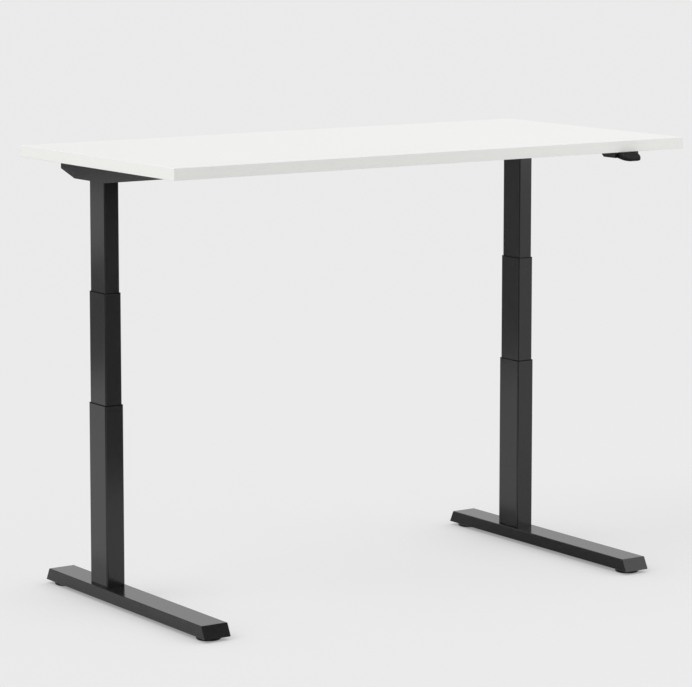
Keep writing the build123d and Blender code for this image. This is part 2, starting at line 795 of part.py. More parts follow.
paddle_tip_y = -top_front - paddle_reach
with BuildPart() as handset_paddle:
    with BuildSketch(profile(handset_x - paddle_width / 2)):
        Polygon(
            (pin_y + paddle_tail, pin_z + 1.5),
            (pin_y - 11.5, pin_z + 2),
            (pin_y - 15, pin_z + 3.5),
            (pin_y - 20, pin_z + 3),
            (paddle_tip_y, pin_z - 8.5),
            (paddle_tip_y, pin_z - 15),
            (handset_front_y, handset_low - 1.5),
            (pin_y + 4, handset_low + 1),
            (pin_y + paddle_tail, pin_z - 2.5),
            align=None,
        )
    extrude(amount=paddle_width)
    fillet(handset_paddle.edges().filter_by(Axis.Z).group_by(Axis.Y)[0], paddle_corner)
    with BuildSketch(profile(handset_x - paddle_width / 2)):
        with Locations((pin_y, pin_z)):
            Circle(pin_radius + running_fit)
    extrude(amount=paddle_width, mode=Mode.SUBTRACT)
save(handset_paddle, "handset_paddle")

with BuildPart() as handset_board:
    with BuildSketch(level(handset_x, handset_back_y - 16, underside - handset_roof)):
        Rectangle(hollow_width - 4, 18)
    extrude(amount=-board_thickness)
save(handset_board, "handset_board")

# ---------------------------------------------------------------- tabletop and its screws
bracket_screws = [
    (side * column_x + x, y, underside - bracket_sheet) for _, side in sides for x, y in bracket_screw_places
]
box_screws = [(sx * ear_x, box_y + sy * ear_y, underside - box_wall) for sx in (-1, 1) for sy in (-1, 1)]
handset_screws = [(handset_x + sx * ear_screw_x, ear_screw_y, underside - handset_roof) for sx in (-1, 1)]

with BuildPart() as wood_screws:
    for x, y, seat in bracket_screws + box_screws + handset_screws:
        with BuildSketch(level(x, y, seat)):
            Circle(wood_screw_head)
        extrude(amount=-wood_screw_head_height)
        with BuildSketch(level(x, y, seat)):
            Circle(wood_screw_radius)
        extrude(amount=wood_screw_length)
save(wood_screws, "wood_screws")

core_width = top_width - 2 * band_thickness
core_depth = top_depth - 2 * band_thickness
top_y = (top_back - top_front) / 2
with BuildPart() as tabletop:
    with BuildSketch(level(0, top_y, underside)):
        Rectangle(core_width, core_depth)
    extrude(amount=top_thickness)
    with BuildSketch(level(0, 0, underside)):
        with Locations(*[(x, y) for x, y, seat in bracket_screws + box_screws + handset_screws]):
            Circle(wood_screw_radius + 0.02)
    extrude(amount=wood_screw_length, mode=Mode.SUBTRACT)
save(tabletop, "tabletop")

with BuildPart() as edge_bands:
    with BuildSketch(level(0, top_y, underside)):
        with GridLocations(1, top_depth - band_thickness, 1, 2):
            Rectangle(top_width, band_thickness)
        with GridLocations(top_width - band_thickness, 1, 2, 1):
            Rectangle(band_thickness, core_depth - 2 * band_joint)
    extrude(amount=top_thickness)
save(edge_bands, "edge_bands")
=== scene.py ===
import json
import math

import bmesh
import bpy
from mathutils import Matrix, Vector

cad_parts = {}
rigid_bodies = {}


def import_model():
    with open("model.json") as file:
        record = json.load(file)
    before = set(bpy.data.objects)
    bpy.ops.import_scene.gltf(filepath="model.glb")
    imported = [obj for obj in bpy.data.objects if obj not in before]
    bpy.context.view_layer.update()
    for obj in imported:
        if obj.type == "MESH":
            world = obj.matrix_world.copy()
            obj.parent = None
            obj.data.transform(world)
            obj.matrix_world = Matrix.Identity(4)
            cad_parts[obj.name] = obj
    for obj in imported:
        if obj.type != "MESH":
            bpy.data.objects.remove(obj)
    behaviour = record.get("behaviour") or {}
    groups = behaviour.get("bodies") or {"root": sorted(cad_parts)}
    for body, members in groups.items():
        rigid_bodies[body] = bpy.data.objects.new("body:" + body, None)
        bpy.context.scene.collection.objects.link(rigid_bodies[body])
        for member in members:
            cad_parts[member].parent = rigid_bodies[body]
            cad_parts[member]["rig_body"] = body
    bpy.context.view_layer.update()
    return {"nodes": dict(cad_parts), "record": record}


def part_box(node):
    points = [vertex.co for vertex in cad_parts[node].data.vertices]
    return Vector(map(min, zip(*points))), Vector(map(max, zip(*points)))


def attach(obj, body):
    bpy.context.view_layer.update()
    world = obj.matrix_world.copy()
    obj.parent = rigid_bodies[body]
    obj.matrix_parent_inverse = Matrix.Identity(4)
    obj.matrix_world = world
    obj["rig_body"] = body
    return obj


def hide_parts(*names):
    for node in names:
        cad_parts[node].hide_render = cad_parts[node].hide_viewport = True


# Looks of the height adjustable desk: a white laminated top on two dark powder-coated lifting legs, with
# moulded trim, steel fittings, motors, control box and hand control. Sizes and places are in metres and
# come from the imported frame. +Z is up, and the front of the desk faces -Y.

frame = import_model()
nodes = frame["nodes"]
slots = {part["node"]: part["material_slot"] for part in frame["record"]["subparts"]}

sides = ("left", "right")
glide_places = ("left_front", "left_rear", "right_front", "right_rear")
mm = 0.001
touching = 0.001 * mm    # points closer than this are one
small_corner = 25        # degrees, past which the faces of threads and bolts meet in a real corner
upward = (0, 0, 1)


# ---------------------------------------------------------------- selecting, shaping and placing
def deselect_everything():
    for piece in list(bpy.context.selected_objects):
        piece.select_set(False)


def start(name, primitive, **sizes):
    """Add one primitive at its size and place, with nothing else selected."""
    deselect_everything()
    primitive(**sizes)
    piece = bpy.context.active_object
    piece.name = name
    piece.data.name = name
    bpy.ops.object.transform_apply(location=True, rotation=True, scale=True)
    return piece


def block(name, low, high):
    """A cube stretched between two corners."""
    low, high = Vector(low), Vector(high)
    return start(
        name, bpy.ops.mesh.primitive_cube_add, size=1, location=(low + high) / 2, scale=high - low
    )


class Bench:
    """Edit mode on one piece, where elements are picked by a test on their place or direction."""

    def __init__(self, piece):
        self.piece = piece

    def __enter__(self):
        deselect_everything()
        self.piece.select_set(True)
        bpy.context.view_layer.objects.active = self.piece
        bpy.ops.object.mode_set(mode="EDIT")
        bpy.ops.mesh.select_all(action="DESELECT")
        return self

    def __exit__(self, *_):
        bpy.ops.object.mode_set(mode="OBJECT")

    def pick(self, kind, test=lambda element: True):
        """Select only the faces, edges or vertices that pass the test."""
        bpy.ops.mesh.select_mode(type=kind)
        bpy.ops.mesh.select_all(action="DESELECT")
        mesh = bmesh.from_edit_mesh(self.piece.data)
        for element in {"FACE": mesh.faces, "EDGE": mesh.edges, "VERT": mesh.verts}[kind]:
            if test(element):
                element.select_set(True)
        mesh.select_flush_mode()
        bmesh.update_edit_mesh(self.piece.data)

    def ease(self, width, segments, test=lambda edge: True):
        """Round the picked edges."""
        self.pick("EDGE", test)
        bpy.ops.mesh.bevel(offset=width, segments=segments, affect="EDGES")

    def close(self):
        """Merge doubled points and turn every face outwards."""
        self.pick("VERT")
        bpy.ops.mesh.remove_doubles(threshold=touching)
        bpy.ops.mesh.normals_make_consistent(inside=False)


def centre_of(edge):
    return (edge.verts[0].co + edge.verts[1].co) / 2


def runs_along(edge, axis):
    """True for an edge that runs along one axis."""
    step = edge.verts[1].co - edge.verts[0].co
    return abs(step[axis]) > 0.99 * step.length


def apply_modifier(piece, kind, name, **settings):
    """Give a piece one modifier and apply it."""
    modifier = piece.modifiers.new(name, kind)
    for setting, value in settings.items():
        setattr(modifier, setting, value)
    bpy.context.view_layer.objects.active = piece
    bpy.ops.object.modifier_apply(modifier=modifier.name)


def smooth(piece, degrees=35):
    """Shade curved faces smooth, keep real corners, and keep wide faces flat up to their eased edges."""
    deselect_everything()
    piece.select_set(True)
    bpy.context.view_layer.objects.active = piece
    bpy.ops.mesh.customdata_custom_splitnormals_clear()
    bpy.ops.object.shade_smooth_by_angle(angle=math.radians(degrees))
    apply_modifier(piece, "WEIGHTED_NORMAL", "flat_faces", mode="FACE_AREA", keep_sharp=True)


def join(pieces):
    """Make several pieces one, under the name of the first."""
    deselect_everything()
    for piece in pieces:
        piece.select_set(True)
    bpy.context.view_layer.objects.active = pieces[0]
    bpy.ops.object.join()


def cut_away(piece, cutter, name, **settings):
    """Take one piece's shape out of another."""
    apply_modifier(piece, "BOOLEAN", name, operation="DIFFERENCE", object=cutter, **settings)
    bpy.data.objects.remove(cutter)


def dress(piece, body, slot, replaced=()):
    """Give a piece its finish and its body, and hide the nodes that it stands for."""
    piece.data.materials.clear()
    piece.data.materials.append(finishes[slot])
    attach(piece, body)
    if replaced:
        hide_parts(*replaced)
    return piece


def copy_to(piece, name, offset):
    """A copy with its own mesh, moved by an offset."""
    twin = piece.copy()
    twin.data = piece.data.copy()
    twin.name = name
    twin.data.name = name
    bpy.context.scene.collection.objects.link(twin)
    twin.data.transform(Matrix.Translation(offset))
    return twin


def line_through(name, points):
    """A line of edges from point to point."""
    line = start(name, bpy.ops.mesh.primitive_plane_add, size=1 * mm, location=points[0])
    with Bench(line) as bench:
        bench.pick("VERT")
        bpy.ops.mesh.merge(type="CENTER")
        for here, there in zip(points, points[1:]):
            bpy.ops.mesh.extrude_vertices_move(TRANSFORM_OT_translate={"value": there - here})
        bench.pick("VERT")
        bpy.ops.mesh.remove_doubles(threshold=touching)
    return line


def lathe(name, centre, along, outline, steps):
    """Spin a half outline of (radius, distance along the axis) pairs into a closed round piece."""
    centre, along = Vector(centre), Vector(along)
    outwards = Vector((0, 0, 1)) if abs(along.z) < 0.5 else Vector((0, 1, 0))
    points = [centre + outwards * radius + along * distance for radius, distance in outline]
    piece = line_through(name, points)
    with Bench(piece) as bench:
        bench.pick("VERT")
        bpy.ops.mesh.spin(steps=steps, angle=2 * math.pi, center=centre, axis=along)
        bench.close()
    smooth(piece)
    return piece


def wind(line, lead, length, hand=1, steps=24):
    """Sweep a line up a helix round the upright axis, and cut it level at both ends."""
    apply_modifier(
        line,
        "SCREW",
        "helix",
        axis="Z",
        angle=hand * 2 * math.pi,
        screw_offset=lead,
        iterations=math.ceil(length / lead) + 2,
        steps=steps,
        render_steps=steps,
    )
    with Bench(line) as bench:
        bench.close()
        for height, outward in ((0, -1), (length, 1)):
            bench.pick("VERT")
            bpy.ops.mesh.bisect(
                plane_co=(0, 0, height), plane_no=(0, 0, outward), clear_outer=True, use_fill=True
            )
        bench.close()


def threaded_rod(name, centre, length, crest, root, pitch, steps=24):
    """An upright rod with a helical thread, standing on its centre point and closed at both ends."""
    tooth = ((root, 0), (root, 0.25), (crest, 0.45), (crest, 0.6), (root, 0.8), (root, 1))
    rod = line_through(name, [Vector((radius, 0, (share - 1) * pitch)) for radius, share in tooth])
    wind(rod, pitch, length, steps=steps)
    rod.data.transform(Matrix.Translation(centre))
    smooth(rod, small_corner)
    return rod


def cut_thread(piece, centre, low, high, crest, root, pitch, starts, hand):
    """Cut trapezoidal helical grooves round an upright rod. A hand of 1 is right, and -1 is left."""
    lead = pitch * starts
    outside = crest + 0.6 * mm
    trapezium = ((outside, 0.2), (root, 0.34), (root, 0.66), (outside, 0.8), (outside, 0.2))
    grooves = []
    for number in range(starts):
        points = [Vector((radius, 0, (number + share) * pitch - lead)) for radius, share in trapezium]
        groove = line_through(f"groove_{number}", points)
        wind(groove, lead, high - low, hand)
        groove.data.transform(Matrix.Translation((centre.x, centre.y, low)))
        grooves.append(groove)
    join(grooves)
    cut_away(piece, grooves[0], "thread", solver="EXACT")
    smooth(piece, small_corner)


def plain_copy(node, name):
    """A copy of one CAD solid with its points and flat faces merged, free of its parent and marks."""
    level = math.radians(0.4)
    piece = nodes[node].copy()
    piece.data = nodes[node].data.copy()
    piece.name = name
    piece.data.name = name
    piece.parent = None
    for key in list(piece.keys()):
        del piece[key]
    bpy.context.scene.collection.objects.link(piece)
    with Bench(piece) as bench:
        bench.pick("VERT")
        bpy.ops.mesh.remove_doubles(threshold=touching)
        bpy.ops.mesh.dissolve_limited(angle_limit=level)
    bpy.ops.mesh.customdata_custom_splitnormals_clear()
    return piece


def eased(node, name, width):
    """A copy of one CAD solid with its sharp edges eased."""
    corner = 30
    piece = plain_copy(node, name)
    apply_modifier(
        piece,
        "BEVEL",
        "eased_edges",
        width=width,
        segments=2,
        limit_method="ANGLE",
        angle_limit=math.radians(corner),
    )
    smooth(piece, corner)
    return dress(piece, nodes[node]["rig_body"], slots[node], [node])


def solids(node):
    """The box of each separate solid of a CAD node, sorted by place."""
    mesh = bmesh.new()
    mesh.from_mesh(nodes[node].data)
    bmesh.ops.remove_doubles(mesh, verts=mesh.verts, dist=touching)
    boxes, seen = [], set()
    for first in mesh.verts:
        if first in seen:
            continue
        island, edge_of_search = [], [first]
        seen.add(first)
        while edge_of_search:
            vertex = edge_of_search.pop()
            island.append(vertex.co.copy())
            for edge in vertex.link_edges:
                other = edge.other_vert(vertex)
                if other not in seen:
                    seen.add(other)
                    edge_of_search.append(other)
        low = Vector([min(point[axis] for point in island) for axis in range(3)])
        high = Vector([max(point[axis] for point in island) for axis in range(3)])
        boxes.append((low, high))
    mesh.free()
    return sorted(boxes, key=lambda box: [round(value, 4) for value in box[0]])


# ---------------------------------------------------------------- finishes
class Signal:
    """The output of a shader node that takes part in arithmetic. Each operator adds one Math node."""

    def __init__(self, wiring, socket):
        self.wiring = wiring
        self.socket = socket

    def math(self, operation, *values):
        """One Math node on signals and numbers."""
        return self.wiring.node("ShaderNodeMath", {"operation": operation}, dict(enumerate(values)))

    def __add__(self, other):
        return self.math("ADD", self, other)

    def __radd__(self, other):
        return self.math("ADD", other, self)

    def __sub__(self, other):
        return self.math("SUBTRACT", self, other)

    def __rsub__(self, other):
        return self.math("SUBTRACT", other, self)

    def __mul__(self, other):
        return self.math("MULTIPLY", self, other)

    def __rmul__(self, other):
        return self.math("MULTIPLY", other, self)


class Wiring:
    """A tree of shader nodes that is wired up from empty."""

    def __init__(self, tree):
        self.tree = tree
        tree.nodes.clear()

    def node(self, kind, settings=None, inputs=None, output=0):
        """Add a node: its settings first, then a value or a link for each of its sockets."""
        made = self.tree.nodes.new(kind)
        for setting, value in (settings or {}).items():
            setattr(made, setting, value)
        for socket, value in (inputs or {}).items():
            self.feed(made.inputs[socket], value)
        return Signal(self, made.outputs[output])

    def feed(self, socket, value):
        """Link a signal to a socket, or write a plain value in it."""
        if isinstance(value, Signal):
            self.tree.links.new(value.socket, socket)
        else:
            socket.default_value = value

    def seen(self):
        """1 for rays from the camera, direct, mirrored or through glass, and 0 for light on the desk."""
        share = 0
        for kind in ("Camera", "Glossy", "Transmission"):
            ray = self.node("ShaderNodeLightPath", output=f"Is {kind} Ray")
            share = ray.math("MAXIMUM", share, ray)
        return share


class Finish(Wiring):
    """One material: a Principled shader, the nodes that feed it and the patterns that they share."""

    def __init__(self, name, **constants):
        self.material = bpy.data.materials.new(name)
        self.material.use_nodes = True
        super().__init__(self.material.node_tree)
        self.shader = self.tree.nodes.new("ShaderNodeBsdfPrincipled")
        self.output = self.tree.nodes.new("ShaderNodeOutputMaterial")
        self.tree.links.new(self.shader.outputs[0], self.output.inputs[0])
        self.place = self.node("ShaderNodeTexCoord", output="Object")
        self.set(**constants)

    def set(self, **sockets):
        """Set or link sockets of the Principled shader, named with _ for each space."""
        for name, value in sockets.items():
            self.feed(self.shader.inputs[name.replace("_", " ")], value)

    def stretched(self, x, y, z):
        """Object coordinates stretched along each axis."""
        return self.node(
            "ShaderNodeVectorMath", {"operation": "MULTIPLY"}, {0: self.place, 1: (x, y, z)}
        )

    def noise(self, scale, detail=3.0, vector=None):
        """Soft clouds from 0 to 1, with so many to a metre."""
        inputs = {"Vector": vector or self.place, "Scale": scale, "Detail": detail, "Roughness": 0.55}
        return self.node("ShaderNodeTexNoise", None, inputs, "Fac")

    def cells(self, scale, feature="F1"):
        """Cells like fish roe, with so many to a metre."""
        inputs = {"Vector": self.place, "Scale": scale}
        return self.node("ShaderNodeTexVoronoi", {"feature": feature}, inputs, "Distance")

    def between(self, share, first, second):
        """A colour between two, which may be signals, by a signal from 0 to 1."""
        first, second = (end if isinstance(end, Signal) else (*end, 1) for end in (first, second))
        return self.node("ShaderNodeMix", {"data_type": "RGBA"}, {0: share, 6: first, 7: second}, 2)

    def colour(self, share, first, second):
        """Colour the surface between two colours, by a signal from 0 to 1."""
        self.set(Base_Color=self.between(share, first, second))

    def sharpen(self, signal, low, high):
        """Stretch a signal so that low gives 0 and high gives 1."""
        return self.node(
            "ShaderNodeMapRange", {"clamp": True}, {0: signal, 1: low, 2: high, 3: 0.0, 4: 1.0}
        )

    def bump(self, height, distance, strength):
        """Raise the surface by a signal times a distance in metres."""
        inputs = {"Strength": strength, "Distance": distance, "Height": height}
        self.set(Normal=self.node("ShaderNodeBump", None, inputs))


def powder_coat():
    """Charcoal powder coat with a fine orange peel."""
    coat = Finish("charcoal_powder_coat", Specular_IOR_Level=0.5)
    cloud = coat.noise(7)
    peel = coat.noise(520, 2)
    grain = coat.noise(1900, 2)
    coat.colour(cloud * 0.6 + grain * 0.4, (0.0085, 0.0087, 0.0091), (0.0145, 0.0147, 0.0151))
    coat.set(Roughness=0.12 + peel * 0.05 + grain * 0.05)
    coat.bump(peel * 0.7 + grain * 0.3, 0.06 * mm, 0.5)
    return coat


def laminate_board():
    """White melamine with a faint pearl structure."""
    board = Finish("white_melamine", Specular_IOR_Level=0.45)
    cloud = board.noise(3)
    pearl = board.noise(1400, 2)
    board.colour(cloud * 0.5 + pearl * 0.5, (0.820, 0.820, 0.803), (0.850, 0.850, 0.833))
    board.set(Roughness=0.4 + pearl * 0.08 + cloud * 0.04)
    board.bump(pearl, 0.03 * mm, 0.5)
    return board


def edge_band():
    """White edge band with the faint lines of its extrusion."""
    band = Finish("white_edge_band", Specular_IOR_Level=0.45)
    lines = band.noise(900, 2, band.stretched(0.02, 0.02, 1))
    grain = band.noise(1600, 2)
    band.colour(lines * 0.6 + grain * 0.4, (0.805, 0.805, 0.783), (0.835, 0.835, 0.813))
    band.set(Roughness=0.36 + lines * 0.1)
    band.bump(lines * 0.6 + grain * 0.4, 0.03 * mm, 0.4)
    return band


def moulded(name, dark, light, roughness, scale, depth, gloss=0.5):
    """Moulded plastic with a spark-eroded texture."""
    plastic = Finish(name, Specular_IOR_Level=gloss)
    cloud = plastic.noise(18)
    pits = plastic.cells(scale)
    grain = plastic.noise(scale * 1.7, 2)
    plastic.colour(cloud * 0.5 + grain * 0.5, dark, light)
    plastic.set(Roughness=roughness + grain * 0.1)
    plastic.bump(pits * 0.6 + grain * 0.4, depth, 0.5)
    return plastic


def black_plastic():
    """Trim of the hand control, the glides and the foot caps."""
    return moulded(
        "black_moulded_plastic",
        (0.007, 0.007, 0.0072),
        (0.011, 0.011, 0.0113),
        roughness=0.2,
        scale=1500,
        depth=0.03 * mm,
        gloss=0.4,
    )


def grey_nylon():
    return moulded(
        "grey_nylon", (0.17, 0.17, 0.165), (0.23, 0.23, 0.225), roughness=0.5, scale=700, depth=0.04 * mm
    )


def control_box_black():
    return moulded(
        "control_box_plastic",
        (0.014, 0.014, 0.014),
        (0.024, 0.024, 0.025),
        roughness=0.5,
        scale=900,
        depth=0.08 * mm,
    )


def socket_plastic():
    return moulded(
        "socket_plastic",
        (0.02, 0.02, 0.022),
        (0.032, 0.032, 0.034),
        roughness=0.4,
        scale=1800,
        depth=0.03 * mm,
    )


def soft_touch():
    """Soft matt skin of the hand control's paddle."""
    return moulded(
        "soft_touch_black",
        (0.009, 0.009, 0.0092),
        (0.014, 0.014, 0.0143),
        roughness=0.6,
        scale=1700,
        depth=0.04 * mm,
        gloss=0.12,
    )


def guide_plastic():
    """Dull black plastic of the guide collars between the tubes."""
    return moulded(
        "guide_plastic",
        (0.003, 0.003, 0.003),
        (0.006, 0.006, 0.006),
        roughness=0.6,
        scale=1500,
        depth=0.03 * mm,
        gloss=0.08,
    )


def zinc_steel():
    """Zinc-plated steel with a faint spangle."""
    zinc = Finish("zinc_plated_steel", Metallic=1.0)
    spangle = zinc.cells(320)
    cloud = zinc.noise(60)
    zinc.colour(spangle * 0.7 + cloud * 0.3, (0.52, 0.54, 0.55), (0.68, 0.69, 0.66))
    zinc.set(Roughness=0.26 + cloud * 0.16)
    zinc.bump(cloud, 0.03 * mm, 0.3)
    return zinc


def machined_steel():
    """Turned steel with fine tool lines across its length."""
    steel = Finish("machined_steel", Metallic=1.0)
    lines = steel.noise(2400, 2, steel.stretched(0.01, 0.01, 1))
    film = steel.noise(40)
    steel.colour(film, (0.42, 0.42, 0.41), (0.56, 0.56, 0.55))
    steel.set(Roughness=0.22 + lines * 0.14 + film * 0.06)
    steel.bump(lines, 0.02 * mm, 0.4)
    return steel


def motor_steel():
    """Drawn steel of the motor cans, with a satin plating."""
    can = Finish("motor_can_steel", Metallic=1.0)
    draw = can.noise(1300, 2, can.stretched(1, 0.03, 0.03))
    cloud = can.noise(25)
    can.colour(cloud * 0.6 + draw * 0.4, (0.34, 0.34, 0.34), (0.48, 0.48, 0.47))
    can.set(Roughness=0.32 + draw * 0.14)
    can.bump(draw, 0.02 * mm, 0.4)
    return can


def burnished_steel():
    """Blackened steel of the hand control's pin."""
    steel = Finish("burnished_steel", Metallic=1.0)
    film = steel.noise(900, 2)
    steel.colour(film, (0.02, 0.02, 0.02), (0.04, 0.04, 0.04))
    steel.set(Roughness=0.4 + film * 0.15)
    return steel


def cast_aluminium():
    """Die-cast aluminium with a soft pebbled skin."""
    cast = Finish("die_cast_aluminium", Metallic=0.92)
    pebbles = cast.noise(650, 3)
    flow = cast.noise(35)
    cast.colour(flow * 0.6 + pebbles * 0.4, (0.38, 0.385, 0.39), (0.52, 0.525, 0.53))
    cast.set(Roughness=0.42 + pebbles * 0.18)
    cast.bump(pebbles, 0.12 * mm, 0.5)
    return cast


def bronze():
    """Bearing bronze of the lifting nuts."""
    metal = Finish("bearing_bronze", Metallic=1.0)
    lines = metal.noise(2000, 2, metal.stretched(0.02, 0.02, 1))
    tarnish = metal.noise(45)
    metal.colour(tarnish, (0.42, 0.24, 0.09), (0.60, 0.38, 0.17))
    metal.set(Roughness=0.28 + lines * 0.12 + tarnish * 0.08)
    metal.bump(lines, 0.02 * mm, 0.4)
    return metal


def circuit_board():
    """Green solder mask over copper tracks."""
    board = Finish("circuit_board", Specular_IOR_Level=0.5)
    tracks = board.sharpen(board.cells(260, "DISTANCE_TO_EDGE"), 0.03, 0.06)
    speckle = board.noise(900, 2)
    mask = board.between(speckle, (0.008, 0.075, 0.030), (0.012, 0.095, 0.040))
    board.colour(tracks, (0.018, 0.14, 0.055), mask)
    board.set(Roughness=0.3 + speckle * 0.12)
    board.bump(1 - tracks, 0.04 * mm, 0.5)
    return board


def glide_rubber():
    """Soft sole under a glide."""
    sole = Finish("glide_rubber", Specular_IOR_Level=0.4)
    crumb = sole.noise(1100, 3)
    sole.colour(crumb, (0.010, 0.010, 0.010), (0.020, 0.020, 0.020))
    sole.set(Roughness=0.7 + crumb * 0.15)
    sole.bump(crumb, 0.1 * mm, 0.5)
    return sole


makers = (
    powder_coat, laminate_board, edge_band, black_plastic, grey_nylon, control_box_black, socket_plastic,
    zinc_steel, machined_steel, motor_steel, cast_aluminium, bronze, circuit_board,
)
finishes = {maker.__name__: maker().material for maker in makers}
rubber_finish = glide_rubber().material
soft_touch_finish = soft_touch().material
guide_finish = guide_plastic().material
pin_finish = burnished_steel().material

for node, piece in nodes.items():
    finish = finishes[slots[node]]
    if "collar" in node:
        finish = guide_finish
    elif node == "handset_pin":
        finish = pin_finish
    piece.data.materials.clear()
    piece.data.materials.append(finish)


# ---------------------------------------------------------------- tabletop
def edge_bands():
    """Four bands round the board, with their outer edges and the desk's corners rounded."""
    round_over = 1.3 * mm
    at_rim = 0.01 * mm
    low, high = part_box("edge_bands")
    board_low, board_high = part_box("tabletop")
    layout = {
        "edge_band_front": ((low.x, low.y), (high.x, board_low.y)),
        "edge_band_rear": ((low.x, board_high.y), (high.x, high.y)),
        "edge_band_left": ((low.x, board_low.y), (board_low.x, board_high.y)),
        "edge_band_right": ((board_high.x, board_low.y), (high.x, board_high.y)),
    }

    def outermost(point, axis):
        return min(abs(point[axis] - low[axis]), abs(point[axis] - high[axis])) < at_rim

    for name, ((x0, y0), (x1, y1)) in layout.items():
        band = block(name, (x0, y0, low.z), (x1, y1, high.z))
        along, across = (0, 1) if x1 - x0 > y1 - y0 else (1, 0)

        def is_outer(edge, along=along, across=across):
            middle = centre_of(edge)
            corner = runs_along(edge, 2) and outermost(middle, along)
            return outermost(middle, across) and (runs_along(edge, along) or corner)

        with Bench(band) as bench:
            bench.ease(round_over, 4, is_outer)
        smooth(band)
        dress(band, "desktop", "edge_band", ["edge_bands"])


# ---------------------------------------------------------------- feet and glides
def foot_caps():
    eased("foot_end_caps", "foot_cap_mouldings", 0.5 * mm)


def at_each_glide(node, *firsts):
    """The left front pieces, and then a copy of each at every other glide, with their place."""
    home, *others = glide_places
    home_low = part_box(f"{node}_{home}")[0]
    yield home, firsts
    for place in others:
        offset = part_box(f"{node}_{place}")[0] - home_low
        yield place, [copy_to(first, first.name.replace(home, place), offset) for first in firsts]


def glide_pads():
    """Turned plastic pads with a rubber sole, each with a stepped rim and a raised hub under its stud."""
    low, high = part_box("glide_pad_left_front")
    centre = (low + high) / 2
    stand = (centre.x, centre.y, low.z)
    radius, height = (high.x - low.x) / 2, high.z - low.z
    sole_height = 1.5 * mm
    sole_radius = radius - 1.4 * mm
    hub = 9 * mm
    steps = 64
    pad_outline = (
        (0, sole_height),
        (radius - 1 * mm, sole_height),
        (radius - 0.3 * mm, sole_height + 0.3 * mm),
        (radius, sole_height + 0.9 * mm),
        (radius, height - 1.8 * mm),
        (radius - 0.4 * mm, height - 1.1 * mm),
        (radius - 1.6 * mm, height - 0.7 * mm),
        (hub + 6 * mm, height - 0.5 * mm),
        (hub + 1 * mm, height - 0.2 * mm),
        (hub, height),
        (0, height),
    )
    sole_outline = (
        (0, 0),
        (sole_radius - 0.8 * mm, 0),
        (sole_radius, 0.6 * mm),
        (sole_radius, sole_height),
        (0, sole_height),
    )
    pad = lathe("glide_disc_left_front", stand, upward, pad_outline, steps)
    sole = lathe("glide_sole_left_front", stand, upward, sole_outline, steps)
    for place, (disc, under) in at_each_glide("glide_pad", pad, sole):
        dress(disc, f"glide_{place}", "black_plastic", [f"glide_pad_{place}"])
        dress(under, f"glide_{place}", "black_plastic")
        under.data.materials[0] = rubber_finish


def glide_studs():
    """Threaded studs, each with a chamfered hexagon that a spanner turns."""
    pad_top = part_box("glide_pad_left_front")[1].z
    low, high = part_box("glide_stud_left_front")
    centre = (low + high) / 2
    crest, root, pitch = 4 * mm, 3.4 * mm, 1.25 * mm
    across_corners = (high.x - low.x) / 2
    hexagon_height = 1 * mm
    rod = threaded_rod(
        "glide_screw_left_front", (centre.x, centre.y, low.z), high.z - low.z, crest, root, pitch
    )
    hexagon = start(
        "glide_hexagon_left_front",
        bpy.ops.mesh.primitive_cylinder_add,
        vertices=6,
        radius=across_corners,
        depth=hexagon_height,
        location=(centre.x, centre.y, pad_top + hexagon_height / 2),
        rotation=(0, 0, math.radians(30)),
    )
    with Bench(hexagon) as bench:
        bench.ease(0.25 * mm, 2)
    smooth(hexagon)
    for place, (screw, head) in at_each_glide("glide_stud", rod, hexagon):
        dress(screw, f"glide_{place}", "zinc_steel", [f"glide_stud_{place}"])
        dress(head, f"glide_{place}", "zinc_steel")


# ---------------------------------------------------------------- lifting screws
def lifting_screws():
    """Four-start trapezoidal threads: the left-hand one of the spindle drives the inner stage up as
    the spindle climbs the right-hand one of the fixed screw."""
    pitch, starts = 4 * mm, 4
    right, left = 1, -1
    plate_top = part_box("column_base_plates")[1].z
    collar_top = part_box("spindle_bearings")[1].z + 3.3 * mm
    run_in, past_end = 1 * mm, 2 * mm
    for node, name, shoulder, crest, root, hand in (
        ("fixed_screw", "fixed_screw_thread", plate_top, 8 * mm, 6.6 * mm, right),
        ("lift_spindle", "lift_spindle_thread", collar_top, 12 * mm, 10.5 * mm, left),
    ):
        low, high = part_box(f"{node}_left")
        piece = plain_copy(f"{node}_left", f"{name}_left")
        first, last = shoulder + run_in, high.z + past_end
        cut_thread(piece, (low + high) / 2, first, last, crest, root, pitch, starts, hand)
        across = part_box(f"{node}_right")[0] - low
        for side, screw in (("left", piece), ("right", copy_to(piece, f"{name}_right", across))):
            solid = f"{node}_{side}"
            dress(screw, nodes[solid]["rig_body"], slots[solid], [solid])


# ---------------------------------------------------------------- top frame
def brackets():
    for side in sides:
        eased(f"side_bracket_{side}", f"bracket_pressing_{side}", 0.6 * mm)


def gearbox_castings():
    for side in sides:
        eased(f"gearbox_{side}", f"gearbox_casting_{side}", 0.8 * mm)


